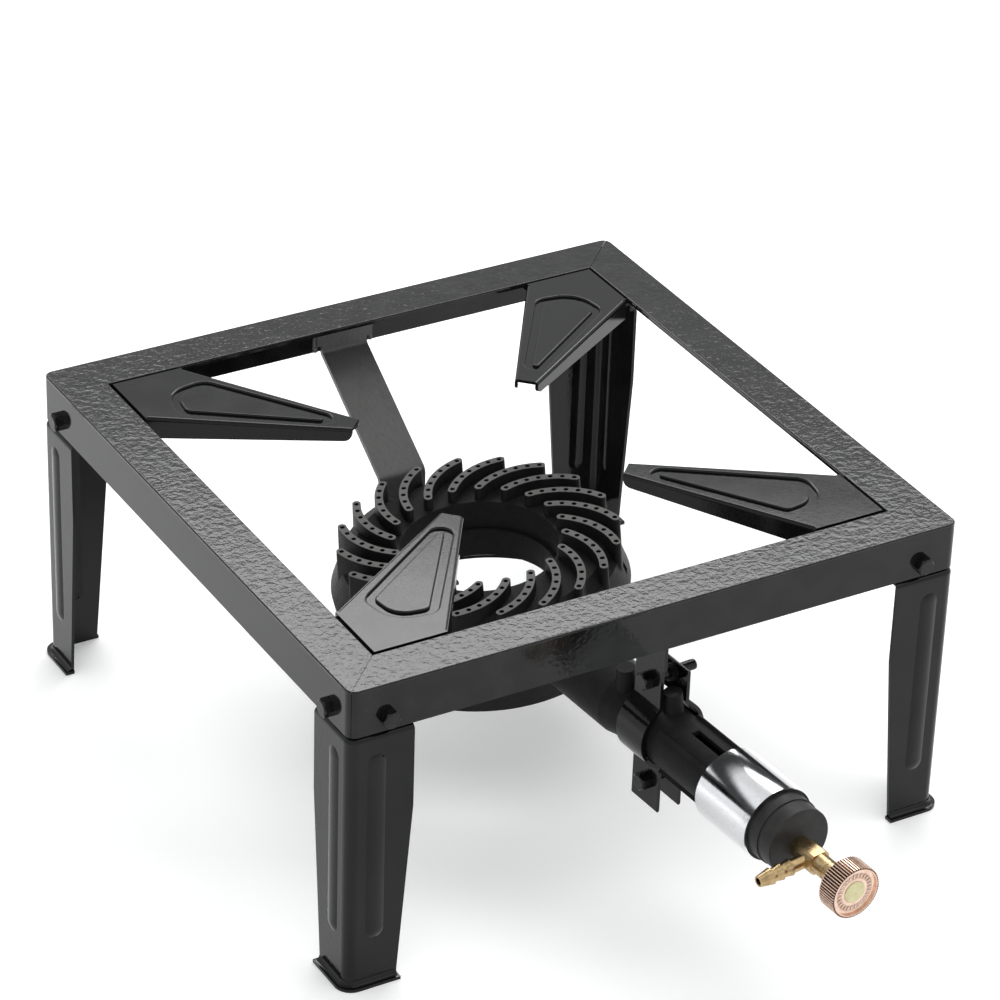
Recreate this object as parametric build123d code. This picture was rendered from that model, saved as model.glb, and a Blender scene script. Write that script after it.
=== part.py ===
from build123d import *
from math import sqrt
import os

os.makedirs("parts", exist_ok=True)

# Stand and frame. Millimetres, +X right along the front rail, +Y to the back,
# +Z up, origin on the floor below the middle of the square frame.
frame_side = 400.0
stand_height = 200.0
angle_width = 30.0
angle_thick = 3.0
frame_corner_radius = 6.0
frame_edge_radius = 1.0
frame_inner_edge_radius = 0.8
mitre_gap = 0.3

# Legs: pressed sheet, an angle in plan, stepped out below the frame flange.
leg_thick = 2.0
leg_proud = 0.5
leg_corner_radius = 6.5
least_inner_radius = 0.5
leg_width_top = 41.0
leg_width_bottom = 32.0
leg_taper_height = 115.0
leg_shoulder_gap = 1.2
leg_shoulder_radius = 3.4
leg_tab_top_gap = 1.0
foot_lip_reach = 4.0
foot_lip_thick = 2.0
foot_lip_fillet = 3.0
foot_lip_extra = 1.0
bead_width = 11.6
bead_from_corner = 17.5
bead_bottom = 32.0
bead_shoulder_gap = 12.3
bead_rise = 1.3

# Screws, M6 hexagon head; those of the legs have a plain nut inside the leg.
m6 = 6.0
m6_flats = 10.0
m6_head_height = 5.5
m6_nut_height = 5.0
m6_hole = 6.4
hexagon_bevel_share = 1.7
thread_fit = 0.05
leg_bolt_from_corner = 24.0
leg_bolt_drop = 21.5
leg_bolt_length = 12.0

# Pot supports: folded sheet arms with a sunk outline in the top.
support_thick = 2.0
support_rail_gap = 2.0
support_side = 46.0
support_length = 154.0
support_tip_width = 15.0
support_flange_root = 14.0
support_flange_tip = 8.0
support_fold_radius = 2.2
support_corner_radius = 1.0
support_tip_radius = 5.0
support_tab_reach = 12.0
groove_width = 4.8
groove_depth = 1.6
groove_edge_radius = 1.3
plateau_edge_radius = 1.1
groove_apex_at = 131.5
groove_apex_radius = 7.0
groove_lobe_at = 55.0
groove_lobe_out = 10.2
groove_lobe_radius = 10.5
groove_base_at = 58.0
groove_base_radius = 19.0

# Rear strap, welded to the back flange, folded down and in below the burner.
strap_x = 5.0
strap_width = 32.0
strap_tab_width = 39.0
strap_tab_drop = 15.0
strap_tab_height = 15.0
strap_thick = 3.0
strap_ring_gap = 13.5
strap_wall_height = 57.0
strap_foot_end = 12.0
strap_foot_drop = 1.0
strap_bend = 5.0

# Burner, built in its own frame: the mixing pipe runs along -Y of it. It sits
# in the stand turned a little about Z and rolled a little about the pipe, with
# the crests of its ribs burner_drop below the pot supports.
burner_y = 11.0
burner_drop = 66.5
burner_yaw = 4.0
burner_roll = -4.7
ring_shift_x = 2.1
ring_shift_y = -1.4
rib_top = 133.5
deck_z = 125.0
deck_edge_radius = 76.0
shoulder_radius = 84.5
shoulder_z = 120.0
ring_wide_radius = 91.5
ring_wide_z = 101.0
waist_radius = 88.0
waist_z = 80.0
skirt_radius = 84.0
skirt_bottom = 62.0
skirt_wall = 4.0
skirt_lip = 2.0
hole_radius_top = 48.5
hole_radius_bottom = 46.5
hole_step_z = 105.5
hole_bottom_z = 87.0
casting_wall = 5.0
chamber_floor_lift = 8.0
rib_count = 20
rib_width = 5.2
rib_root_width = 6.6
rib_root_z = 106.0
rib_inner_radius = 52.6
rib_outer_radius = 84.2
rib_first_angle = 128.7
rib_sweep = 27.3
rib_bow = 5.9
notch_angle = -38.0
notch_width = 5.0
notch_depth = 6.5
notch_top = 113.0
notch_bottom = 107.0
port_count = 7
port_diameter = 3.1
port_end_share = 0.02
port_bottom_z = 101.0

# Mixing pipe of the casting, with its fins, air slots, bosses and foot lug.
pipe_z = 102.5
throat_radius = 21.0
pipe_radius = 18.0
throat_bore_radius = 17.0
pipe_bore_radius = 15.0
pipe_root_y = -62.0
taper_length = 15.0
taper_clamp_gap = 5.0
pipe_past_clamp = 98.0
fin_count = 4
fin_thick = 3.2
fin_low_radius = 20.3
fin_low_clamp_gap = 7.0
fin_low_length = 50.0
fin_high_radius = 22.82
fin_high_length = 45.0
slot_width = 5.5
slot_clamp_gap = 23.0
slot_length = 44.0
boss_radius = 5.6
boss_root_radius = 6.4
boss_root_z = 112.0
boss_top_z = 133.0
front_boss_x = 2.5
front_boss_inset = 2.0
rear_boss_x = -5.3
rear_boss_gap = 13.0
lug_inset = 13.0
lug_radius = 7.0
lug_depth = 18.0
lug_hole_depth = 14.0
strap_screw_reach = 11.5

# Air sleeve on the fins of the pipe.
sleeve_fit = 0.08
sleeve_thick = 0.7
sleeve_length = 46.5
sleeve_overhang = 3.5

# End cap in the mouth of the pipe.
cap_plug_depth = 15.0
cap_plug_fit = 0.05
cap_flange_radius = 22.5
cap_flange_thick = 3.0
cap_collar_radius = 21.2
cap_collar_length = 9.0
cap_face_radius = 20.5
cap_face_length = 11.0
cap_edge = 0.8

# Valve, a little below the middle of the cap: shank, block, body and hose barb.
valve_drop = 3.0
shank_radius = 5.0
shank_fit = 0.05
shank_end_gap = 4.0
collar_radius = 6.5
collar_length = 5.0
block_flats = 13.0
block_radius = 7.6
block_length = 14.0
body_radius = 6.2
body_length = 9.0
barb_from_collar = 7.0
barb_length = 37.0
barb_tube_radius = 4.1
barb_ridge_radius = 5.0
barb_ridge_starts = (15.5, 22.0)
barb_ridge_length = 4.2
barb_nose_start = 28.5
barb_tip_radius = 3.3
barb_bore_radius = 2.25
chamber_radius = 3.0
seat_radius = 1.6
seat_length = 3.5
seat_from_collar = 1.0
shank_bore_radius = 2.0

# Jet screwed into the end of the shank.
jet_thread_radius = 3.0
jet_thread_length = 7.0
jet_flats = 8.0
jet_head_length = 4.0
jet_nose_length = 4.0
jet_nose_radius = 2.4
jet_tip_radius = 1.2
jet_orifice_radius = 0.4

# Gland nut and seal, spindle and knob.
gland_radius = 6.0
gland_length = 7.0
gland_groove_width = 1.0
gland_groove_depth = 0.8
packing_radius = 4.0
packing_depth = 4.0
seal_length = 2.5
stem_radius = 2.5
stem_fit = 0.06
needle_radius = 1.5
needle_length = 9.0
needle_tip_length = 2.0
needle_tip_radius = 0.5
needle_in_seat = 1.5
knob_gap = 2.0
knob_hub_radius = 6.0
knob_hub_length = 2.0
knob_radius = 16.0
knob_length = 12.8
knob_rim = 1.6
knob_face_recess = 1.4
knob_back_recess = 6.5
knob_wall = 2.5
knurl_count = 60
knurl_radius = 0.6
knob_fit = 0.02
disc_radius = 6.8
disc_thick = 1.4
disc_pocket = 0.8

# Pipe clamp: two strip halves with ears above and below the pipe.
clamp_thick = 2.2
clamp_inner_radius = 20.0
clamp_seat = 0.2
clamp_flange_gap = 3.0
clamp_length = 25.0
clamp_upper_ear = 9.3
clamp_lower_ear = 7.5
clamp_top_drop = 10.0
clamp_right_top = 144.0
clamp_bottom = 54.0
clamp_upper_bolt_z = 139.0
clamp_lower_bolt_z = 69.0
clamp_upper_bolt_end = 22.0
clamp_lower_bolt_end = 17.0
clamp_foot_width = 12.0
clamp_foot_height = 18.0
clamp_web_height = 38.0

half = frame_side / 2
flange_inner = half - angle_thick
rail_inner = half - angle_width
frame_under = stand_height - angle_thick
flange_bottom = stand_height - angle_width
burner_lift = stand_height - burner_drop - rib_top
clamp_frame = Location((0, burner_y, burner_lift), (0, 0, burner_yaw))
burner_frame = clamp_frame * Location((0, 0, pipe_z), (0, burner_roll, 0)) * Location((0, 0, -pipe_z))
valve_z = pipe_z - valve_drop
clamp_front_y = clamp_flange_gap - flange_inner - burner_y
clamp_rear_y = clamp_front_y + clamp_length
pipe_end_y = clamp_front_y - pipe_past_clamp
corners = ("front", "right", "back", "left")


def save(shape, name):
    solids = shape.solids()
    shape = solids[0] if len(solids) == 1 else Compound(children=list(solids))
    shape.label = name
    export_step(shape, f"parts/{name}.step")
    box = shape.bounding_box()
    print(f"{name}: {len(solids)} solid(s), {shape.volume:.0f} mm3, z {box.min.Z:.1f} to {box.max.Z:.1f}")


def block(x0, x1, y0, y1, z0, z1):
    return Pos((x0 + x1) / 2, (y0 + y1) / 2, (z0 + z1) / 2) * Box(x1 - x0, y1 - y0, z1 - z0)


def rod_y(radius, y0, y1, x=0.0, z=0.0):
    return Pos(x, (y0 + y1) / 2, z) * Rot(90, 0, 0) * Cylinder(radius, abs(y1 - y0))


def cone_y(radius0, radius1, y0, y1, z=0.0):
    """A cone with radius0 at y0 and radius1 at y1, where y1 is less than y0."""
    return Pos(0, (y0 + y1) / 2, z) * Rot(90, 0, 0) * Cone(radius0, radius1, y0 - y1)


def rod_x(radius, x0, x1, y=0.0, z=0.0):
    return Pos((x0 + x1) / 2, y, z) * Rot(0, 90, 0) * Cylinder(radius, x1 - x0)


def hexagon(flats, length):
    """A hexagon prism along +Z from the origin, chamfered at its far end."""
    corner_radius = flats / sqrt(3)
    bevel = corner_radius - flats / 2
    prism = extrude(RegularPolygon(corner_radius, 6), length)
    turned = Pos(0, 0, length / 2) * Cylinder(corner_radius, length)
    rim = turned.edges().filter_by(GeomType.CIRCLE).sort_by(Axis.Z)[-1]
    turned = chamfer(rim, bevel * hexagon_bevel_share)
    return prism & turned


def corner_angle(outer, thick, reach, z0, z1, radius):
    """An angle in plan with its corner at (-outer, -outer) and walls along +X and +Y."""
    middle = -outer + reach / 2
    big = Pos(middle, middle) * Rectangle(reach, reach)
    big = fillet(big.vertices().sort_by(lambda v: v.X + v.Y)[0], radius)
    small = Pos(middle + thick, middle + thick) * Rectangle(reach, reach)
    inner_radius = max(radius - thick, least_inner_radius)
    small = fillet(small.vertices().sort_by(lambda v: v.X + v.Y)[0], inner_radius)
    return Pos(0, 0, z0) * extrude(big - small, z1 - z0)


def across_diagonal(shape):
    return mirror(shape, about=Plane((0, 0, 0), z_dir=(1, -1, 0)))


# Frame: a square of angle section with rounded corners, cut on its four mitres.
bolt_x = half - leg_bolt_from_corner
bolt_z = stand_height - leg_bolt_drop


def leg_bolt_holes():
    front = rod_y(m6_hole / 2, -half - m6, -half + leg_bolt_length, -bolt_x, bolt_z)
    return front + across_diagonal(front)


def frame_square():
    plan = Rectangle(frame_side, frame_side)
    plan = fillet(plan.vertices(), frame_corner_radius)
    square = Pos(0, 0, flange_bottom) * extrude(plan, angle_width)
    square = fillet(square.edges().group_by(Axis.Z)[-1], frame_edge_radius)
    square -= block(-rail_inner, rail_inner, -rail_inner, rail_inner, flange_bottom, stand_height)
    inside = [edge for edge in square.edges().group_by(Axis.Z)[-1]
              if max(abs(edge.center().X), abs(edge.center().Y)) < flange_inner]
    square = fillet(inside, frame_inner_edge_radius)
    square -= block(-flange_inner, flange_inner, -flange_inner, flange_inner, flange_bottom, frame_under)
    for quarter in range(4):
        square -= Rot(0, 0, 90 * quarter) * leg_bolt_holes()
    return square


def mitre_sector():
    """The quarter of the plan that the front rail takes, short of both mitres."""
    trim = mitre_gap / sqrt(2)
    points = [(-frame_side + trim, -frame_side), (frame_side - trim, -frame_side), (0, -trim)]
    return extrude(make_face(Polyline(*points, close=True)), stand_height)


square = frame_square()
for quarter, side in enumerate(("front", "right", "back", "left")):
    save(square & (Rot(0, 0, 90 * quarter) * mitre_sector()), f"frame_rail_{side}")


# Leg below the front left corner; the other three are the same piece turned.
leg_outer = half + leg_proud
shoulder_top = flange_bottom - leg_shoulder_gap
bead_top = shoulder_top - bead_shoulder_gap
tab_inner = flange_inner - leg_thick


def outline_edges(shape, z, outer):
    """Edges at height z that follow the outer faces, which stand at -outer."""
    near = 0.01
    found = []
    for edge in shape.edges():
        box = edge.bounding_box()
        middle = edge.center()
        level = abs(box.min.Z - z) < near and abs(box.max.Z - z) < near
        on_face = abs(min(middle.X, middle.Y) + outer) < near
        on_corner = abs(box.min.X + outer) < near and abs(box.min.Y + outer) < near
        if level and (on_face or on_corner):
            found.append(edge)
    return found


def capsule(radius, z0, z1):
    core = Pos(0, 0, (z0 + z1) / 2) * Cylinder(radius, z1 - z0)
    return core + Pos(0, 0, z0) * Sphere(radius) + Pos(0, 0, z1) * Sphere(radius)


def bead(sheet):
    """Round-backed bead pressed out of the front wall; sheet takes its wall off for the hollow."""
    back_radius = (bead_width**2 / 4 + bead_rise**2) / (2 * bead_rise)
    end = bead_width / 2
    place = Pos(-leg_outer + bead_from_corner, -leg_outer - bead_rise + back_radius, 0)
    return place * capsule(back_radius - sheet, bead_bottom + end, bead_top - end)


def leg_side_cut():
    """Takes the free edge of the front wall back to its taper."""
    lip_width = leg_width_bottom + foot_lip_extra
    outline = [
        (lip_width, 0),
        (lip_width, foot_lip_thick),
        (leg_width_bottom, foot_lip_thick),
        (leg_width_top, leg_taper_height),
        (leg_width_top + leg_width_bottom, leg_taper_height),
        (leg_width_top + leg_width_bottom, 0),
    ]
    depth = leg_width_top + foot_lip_reach * 2
    cutter = extrude(Plane.XZ * make_face(Polyline(*outline, close=True)), depth)
    return Pos(-leg_outer, -leg_outer + leg_width_top, 0) * cutter


def leg_corner():
    shoulder_bottom = shoulder_top - leg_thick
    lip_outer = leg_outer + foot_lip_reach
    tab_reach = leg_width_top - (leg_outer - flange_inner)
    tab_top = frame_under - leg_tab_top_gap
    leg = corner_angle(leg_outer, leg_thick, leg_width_top, 0, shoulder_top, leg_corner_radius)
    leg += corner_angle(lip_outer, foot_lip_reach + leg_thick, leg_width_top + foot_lip_reach, 0,
                        foot_lip_thick, leg_corner_radius + foot_lip_reach)
    leg = fillet(outline_edges(leg, foot_lip_thick, leg_outer), foot_lip_fillet)
    leg += corner_angle(leg_outer, leg_outer - tab_inner, leg_width_top, shoulder_bottom, shoulder_top,
                        leg_corner_radius)
    leg = fillet(outline_edges(leg, shoulder_top, leg_outer), leg_shoulder_radius)
    leg += corner_angle(flange_inner, leg_thick, tab_reach, shoulder_bottom, tab_top, leg_corner_radius / 2)
    wall_front = -leg_outer - bead_rise * 2
    raised = bead(0) & block(-leg_outer, -leg_outer + leg_width_top, wall_front, -leg_outer + leg_thick / 2,
                             bead_bottom, bead_top)
    leg = leg + raised + across_diagonal(raised)
    for cutter in (bead(leg_thick), leg_side_cut()):
        leg = leg - cutter - across_diagonal(cutter)
    return leg - leg_bolt_holes()


leg = leg_corner()
for quarter, corner in enumerate(corners):
    save(Rot(0, 0, 90 * quarter) * leg, f"leg_{corner}")


def leg_bolt():
    head = Pos(-bolt_x, -half, bolt_z) * Rot(90, 0, 0) * hexagon(m6_flats, m6_head_height)
    return head + rod_y(m6 / 2, -half, -half + leg_bolt_length, -bolt_x, bolt_z)


def leg_nut():
    nut = Pos(-bolt_x, -tab_inner, bolt_z) * Rot(-90, 0, 0) * hexagon(m6_flats, m6_nut_height)
    return nut - rod_y(m6 / 2 + thread_fit, -half, -half + leg_bolt_length * 2, -bolt_x, bolt_z)


def on_all_corners(piece):
    pair = (piece, across_diagonal(piece))
    copies = [Rot(0, 0, 90 * quarter) * one for quarter in range(4) for one in pair]
    return Compound(children=[copy.solids()[0] for copy in copies])


save(on_all_corners(leg_bolt()), "leg_bolts")
save(on_all_corners(leg_nut()), "leg_nuts")


# Pot support in the front left corner: its own X runs from the corner to the tip.
support_corner = rail_inner - support_rail_gap
support_shoulder = support_side / sqrt(2)


def arm_shell():
    """The plate with both long edges folded down, hollow below and open at both ends."""
    tip_half = support_tip_width / 2
    outline = [
        (0, 0),
        (support_shoulder, -support_shoulder),
        (support_length, -tip_half),
        (support_length, tip_half),
        (support_shoulder, support_shoulder),
    ]
    root_z = stand_height - support_flange_root
    tip_z = stand_height - support_flange_tip
    arm = Pos(0, 0, root_z) * extrude(make_face(Polyline(*outline, close=True)), support_flange_root)
    tip_start = support_length - support_fold_radius
    folds = [edge for edge in arm.edges().group_by(Axis.Z)[-1]
             if support_shoulder < edge.center().X < tip_start]
    arm = fillet(folds, support_fold_radius)
    slope = (support_shoulder - tip_half) / (support_length - support_shoulder)
    inset = support_thick * sqrt(1 + slope**2)
    past_tip = support_length + support_tip_width
    past_tip_half = tip_half - inset - slope * support_tip_width
    hollow = [
        (-support_thick, -support_side),
        (support_shoulder, -support_side),
        (support_shoulder, inset - support_shoulder),
        (past_tip, -past_tip_half),
        (past_tip, past_tip_half),
        (support_shoulder, support_shoulder - inset),
        (support_shoulder, support_side),
        (-support_thick, support_side),
    ]
    depth = support_flange_root - support_thick
    arm -= Pos(0, 0, root_z) * extrude(make_face(Polyline(*hollow, close=True)), depth)
    side_view = [
        (0, stand_height),
        (support_length, stand_height),
        (support_length, tip_z),
        (support_shoulder, root_z),
        (0, root_z),
    ]
    side = make_face(Polyline(*side_view, close=True))
    side = fillet(side.vertices().sort_by(lambda v: v.X - v.Y)[-1], support_tip_radius)
    return arm & extrude(Plane.XZ * side, support_side, both=True)


def groove_band():
    """Rounded triangle with a bowed base, the hull of four circles, as a band of even width."""
    circles = [
        Pos(groove_apex_at, 0) * Circle(groove_apex_radius),
        Pos(groove_lobe_at, groove_lobe_out) * Circle(groove_lobe_radius),
        Pos(groove_lobe_at, -groove_lobe_out) * Circle(groove_lobe_radius),
        Pos(groove_base_at, 0) * Circle(groove_base_radius),
    ]
    outer = make_hull([circle.edge() for circle in circles])
    return outer - offset(outer, -groove_width)


def pot_support():
    plate_bottom = stand_height - support_thick
    band = extrude(groove_band(), groove_depth)
    arm = arm_shell() + Pos(0, 0, plate_bottom - groove_depth) * band
    arm -= Pos(0, 0, stand_height - groove_depth) * band
    plate = arm.faces().filter_by(Plane.XY).sort_by(Axis.Z)[-2:].sort_by(SortBy.AREA)[-1]
    arm = fillet(plate.inner_wires()[0].edges(), groove_edge_radius)
    plateau = arm.faces().filter_by(Plane.XY).sort_by(Axis.Z)[-2:].sort_by(SortBy.AREA)[0]
    arm = fillet(plateau.outer_wire().edges(), plateau_edge_radius)
    arm = Pos(-support_corner, -support_corner, 0) * Rot(0, 0, 45) * arm
    tab_bottom = frame_under - support_thick
    tab_outer = support_corner + support_tab_reach
    arm += corner_angle(support_corner, support_thick, support_side, tab_bottom, stand_height,
                        support_corner_radius)
    arm += corner_angle(tab_outer, support_tab_reach + support_thick, support_side + support_tab_reach,
                        tab_bottom, frame_under, support_corner_radius)
    return arm


support = pot_support()
for quarter, corner in enumerate(corners):
    save(Rot(0, 0, 90 * quarter) * support, f"pot_support_{corner}")


# Rear strap: its side view is one bent line, seen along X, made thick and wide.
strap_tab_top = stand_height - strap_tab_drop
strap_slope_top = strap_tab_top - strap_tab_height
strap_foot_z = burner_lift + skirt_bottom - strap_foot_drop
strap_fold_z = strap_foot_z + strap_wall_height
strap_fold_y = burner_y + ring_wide_radius + strap_ring_gap
strap_screw_y = burner_y + skirt_radius - lug_inset
strap_foot_y = strap_screw_y - strap_foot_end


def sheet_band(line, thick):
    """A band of even width along a line, with round ends as deep as half the sheet."""
    return make_face(line.offset_2d(thick / 2, kind=Kind.ARC, side=Side.BOTH).edges())


def rear_strap():
    back = flange_inner - strap_thick / 2
    foot_z = strap_foot_z - strap_thick / 2
    line = FilletPolyline(
        (back, strap_tab_top),
        (back, strap_slope_top),
        (strap_fold_y, strap_fold_z),
        (strap_fold_y, foot_z),
        (strap_foot_y, foot_z),
        radius=strap_bend,
    )
    strip = extrude(Plane.YZ * sheet_band(Wire(line.edges()), strap_thick), strap_width / 2, both=True)
    tab = block(-strap_tab_width / 2, strap_tab_width / 2, flange_inner - strap_thick, flange_inner,
                strap_slope_top + strap_bend, strap_tab_top)
    hole = Pos(0, strap_screw_y, foot_z) * Cylinder(m6_hole / 2, strap_thick * 2)
    return Pos(strap_x, 0, 0) * (strip + tab - hole)


def strap_screw():
    under = strap_foot_z - strap_thick
    length = strap_thick + strap_screw_reach
    head = Pos(0, 0, under) * Rot(180, 0, 0) * hexagon(m6_flats, m6_head_height)
    shank = Pos(0, 0, under + length / 2) * Cylinder(m6 / 2, length)
    return Pos(strap_x, strap_screw_y, 0) * (head + shank)


save(rear_strap(), "rear_strap")
save(strap_screw(), "strap_screw")


# Burner casting: ring, ribs with ports, mixing pipe, bosses and lug.
def ring_solid():
    outline = [
        (hole_radius_top, deck_z),
        (deck_edge_radius, deck_z),
        (shoulder_radius, shoulder_z),
        (ring_wide_radius, ring_wide_z),
        (waist_radius, waist_z),
        (skirt_radius, skirt_bottom),
        (skirt_radius - skirt_wall, skirt_bottom),
        (skirt_radius - skirt_wall, skirt_bottom + skirt_lip),
        (hole_radius_bottom, hole_bottom_z),
        (hole_radius_bottom, hole_step_z),
        (hole_radius_top, hole_step_z),
    ]
    return revolve(Plane.XZ * make_face(Polyline(*outline, close=True)), Axis.Z)


def gas_chamber():
    inner = hole_radius_top + casting_wall
    top = deck_z - casting_wall
    outline = [
        (inner, top),
        (deck_edge_radius - casting_wall / 2, top),
        (shoulder_radius - casting_wall, shoulder_z - casting_wall),
        (ring_wide_radius - casting_wall, ring_wide_z),
        (waist_radius - casting_wall, waist_z),
        (skirt_radius - casting_wall, skirt_bottom + skirt_lip + chamber_floor_lift),
        (inner, hole_bottom_z + casting_wall / 2),
    ]
    return revolve(Plane.XZ * make_face(Polyline(*outline, close=True)), Axis.Z)


def rib_line():
    start = Vector(rib_inner_radius, 0, 0).rotate(Axis.Z, rib_first_angle)
    end = Vector(rib_outer_radius, 0, 0).rotate(Axis.Z, rib_first_angle - rib_sweep)
    outward = Vector(0, 0, 1).cross(end - start).normalized()
    return ThreePointArc(start, (start + end) / 2 + outward * rib_bow, end)


def rib_solid():
    root = Pos(0, 0, rib_root_z) * SlotArc(rib_line(), rib_root_width)
    crest = Pos(0, 0, rib_top) * SlotArc(rib_line(), rib_width)
    return loft([root, crest], ruled=True)


def rib_ports():
    height = rib_top - port_bottom_z
    port = Pos(0, 0, port_bottom_z + height / 2) * Cylinder(port_diameter / 2, height)
    step = (1 - 2 * port_end_share) / (port_count - 1)
    spots = [rib_line() @ (port_end_share + step * number) for number in range(port_count)]
    return [Pos(spot.X, spot.Y, 0) * port for spot in spots]


taper_end_y = clamp_rear_y + taper_clamp_gap
throat_end_y = taper_end_y + taper_length
fin_low_start_y = clamp_front_y - fin_low_clamp_gap
slot_start_y = clamp_front_y - slot_clamp_gap


def pipe_solid():
    pipe = rod_y(throat_radius, pipe_root_y, throat_end_y, z=pipe_z)
    pipe += cone_y(throat_radius, pipe_radius, throat_end_y, taper_end_y, z=pipe_z)
    pipe += rod_y(pipe_radius, taper_end_y, pipe_end_y, z=pipe_z)
    runs = (
        (fin_low_radius, fin_low_start_y, fin_low_start_y - fin_low_length),
        (fin_high_radius, pipe_end_y + fin_high_length, pipe_end_y),
    )
    for radius, start, end in runs:
        tube = rod_y(radius, start, end, z=pipe_z)
        for number in range(fin_count):
            angle = 45 + 360 / fin_count * number
            web = block(pipe_bore_radius, radius + fin_thick, end, start, -fin_thick / 2, fin_thick / 2)
            pipe += tube & (Pos(0, 0, pipe_z) * Rot(0, angle, 0) * web)
    height = boss_top_z - boss_root_z
    spots = ((front_boss_x, clamp_front_y + front_boss_inset), (rear_boss_x, clamp_rear_y + rear_boss_gap))
    for x, y in spots:
        pipe += Pos(x, y, boss_root_z + height / 2) * Cone(boss_root_radius, boss_radius, height)
    return pipe


def pipe_bore():
    bore = rod_y(throat_bore_radius, pipe_root_y, throat_end_y, z=pipe_z)
    bore += cone_y(throat_bore_radius, pipe_bore_radius, throat_end_y, taper_end_y, z=pipe_z)
    return bore + rod_y(pipe_bore_radius, taper_end_y, pipe_end_y, z=pipe_z)


def burner_casting():
    middle = Pos(ring_shift_x, ring_shift_y, 0)
    turns = [middle * Rot(0, 0, 360 / rib_count * number) for number in range(rib_count)]
    rib = rib_solid()
    ribs = [turn * rib for turn in turns]
    ports = [turn * port for turn in turns for port in rib_ports()]
    casting = (middle * ring_solid()).fuse(pipe_solid(), *ribs)
    notch = block(ring_wide_radius - notch_depth, ring_wide_radius, -notch_width / 2, notch_width / 2,
                  notch_bottom, notch_top)
    notch = middle * Rot(0, 0, notch_angle) * notch
    casting = casting.cut(middle * gas_chamber(), pipe_bore(), notch, *ports)
    reach = pipe_radius + fin_thick
    casting -= block(-slot_width / 2, slot_width / 2, slot_start_y - slot_length, slot_start_y,
                     pipe_z - reach, pipe_z + reach)
    lug_place = Pos(strap_x, strap_screw_y, strap_foot_z)
    lug = Pos(0, 0, lug_depth / 2) * Cylinder(lug_radius, lug_depth)
    lug_hole = Pos(0, 0, lug_hole_depth / 2) * Cylinder(m6 / 2 + thread_fit, lug_hole_depth)
    return burner_frame * casting + lug_place * lug - lug_place * lug_hole


save(burner_casting(), "burner_casting")


# Air sleeve and end cap.
sleeve_front_y = pipe_end_y - sleeve_overhang
flange_front_y = pipe_end_y - cap_flange_thick
collar_front_y = flange_front_y - cap_collar_length
cap_front_y = collar_front_y - cap_face_length


def air_sleeve():
    inner = fin_high_radius + sleeve_fit
    rear = sleeve_front_y + sleeve_length
    tube = rod_y(inner + sleeve_thick, rear, sleeve_front_y, z=pipe_z)
    return tube - rod_y(inner, rear, sleeve_front_y, z=pipe_z)


def end_cap():
    cap = rod_y(pipe_bore_radius - cap_plug_fit, pipe_end_y + cap_plug_depth, pipe_end_y, z=pipe_z)
    cap += rod_y(cap_flange_radius, pipe_end_y, flange_front_y, z=pipe_z)
    cap += rod_y(cap_collar_radius, flange_front_y, collar_front_y, z=pipe_z)
    face = rod_y(cap_face_radius, collar_front_y, cap_front_y, z=pipe_z)
    cap += fillet(face.edges().filter_by(GeomType.CIRCLE).sort_by(Axis.Y)[0], cap_edge)
    return cap - rod_y(shank_radius + shank_fit, pipe_end_y + cap_plug_depth, cap_front_y, z=valve_z)


save(burner_frame * air_sleeve(), "air_sleeve")
save(burner_frame * end_cap(), "end_cap")


# Valve: everything lies on one axis below the middle of the pipe.
shank_end_y = pipe_end_y + cap_plug_depth - shank_end_gap
collar_end_y = cap_front_y - collar_length
block_end_y = collar_end_y - block_length
body_end_y = block_end_y - body_length
barb_y = collar_end_y - barb_from_collar
seat_rear_y = collar_end_y + seat_from_collar
seat_front_y = seat_rear_y - seat_length
packing_y = body_end_y + packing_depth
jet_thread_y = shank_end_y - jet_thread_length
gland_end_y = body_end_y - gland_length
barb_place = Pos(0, barb_y, valve_z) * Rot(0, -90, 0)


def barb_turned():
    """Hose barb along +Z from the valve axis, with two ridges and a tapered nose."""
    profile = [(0, 0), (barb_tube_radius, 0)]
    for start in barb_ridge_starts:
        profile += [
            (barb_tube_radius, start),
            (barb_ridge_radius, start),
            (barb_tube_radius, start + barb_ridge_length),
        ]
    profile += [
        (barb_tube_radius, barb_nose_start),
        (barb_ridge_radius, barb_nose_start),
        (barb_tip_radius, barb_length),
        (0, barb_length),
    ]
    return revolve(Plane.XZ * make_face(Polyline(*profile, close=True)), Axis.Z)


def valve_body():
    shank = rod_y(shank_radius, shank_end_y, cap_front_y, z=valve_z)
    collar = rod_y(collar_radius, cap_front_y, collar_end_y, z=valve_z)
    lump = block(-block_flats / 2, block_flats / 2, block_end_y, collar_end_y,
                 valve_z - block_flats / 2, valve_z + block_flats / 2)
    lump &= rod_y(block_radius, collar_end_y, block_end_y, z=valve_z)
    body = rod_y(body_radius, block_end_y, body_end_y, z=valve_z)
    valve = shank + collar + lump + body + barb_place * barb_turned()
    valve -= rod_y(chamber_radius, seat_front_y, packing_y, z=valve_z)
    valve -= rod_y(packing_radius, packing_y, body_end_y, z=valve_z)
    valve -= rod_y(seat_radius, seat_rear_y, seat_front_y, z=valve_z)
    valve -= rod_y(shank_bore_radius, shank_end_y, seat_rear_y, z=valve_z)
    valve -= rod_y(jet_thread_radius + thread_fit, shank_end_y, jet_thread_y, z=valve_z)
    return valve - barb_place * Pos(0, 0, barb_length / 2) * Cylinder(barb_bore_radius, barb_length)


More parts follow.
